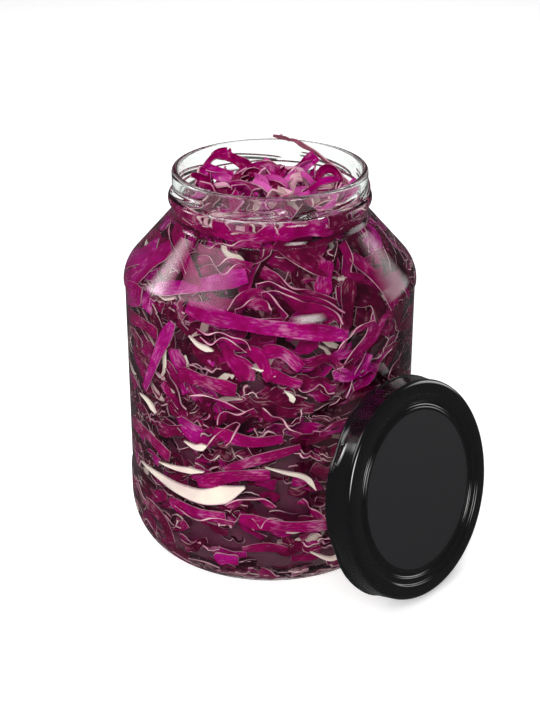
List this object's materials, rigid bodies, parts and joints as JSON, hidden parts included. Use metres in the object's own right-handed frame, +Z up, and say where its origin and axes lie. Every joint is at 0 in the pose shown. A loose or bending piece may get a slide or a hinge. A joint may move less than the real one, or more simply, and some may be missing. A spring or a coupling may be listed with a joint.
{
  "type": "glass storage jar",
  "caption": "Wide clear glass storage jar packed with shredded red cabbage, with its black twist-off metal lid leaning against the side.",
  "frame": {"origin": "on the floor, at the middle of the footprint that the standing jar and the leaning lid have together", "axes": "+Z up along the jar's axis, which stands on the -X side of the origin; +X towards the leaning lid; the picture looks from the -Y side, turned about 42 degrees towards +X"},
  "size_m": [0.1884, 0.1508, 0.2076],
  "materials": {
    "glass": "clear, glossy",
    "black_enamel": "glossy skirt and rings, satin flat top",
    "red_cabbage": "moist, softly glossy"
  },
  "bodies": {
    "root": {"jar": "glass", "lid": "black_enamel", "cabbage_heap": "red_cabbage", "loose_shred": "red_cabbage"}
  },
  "joints": []
}
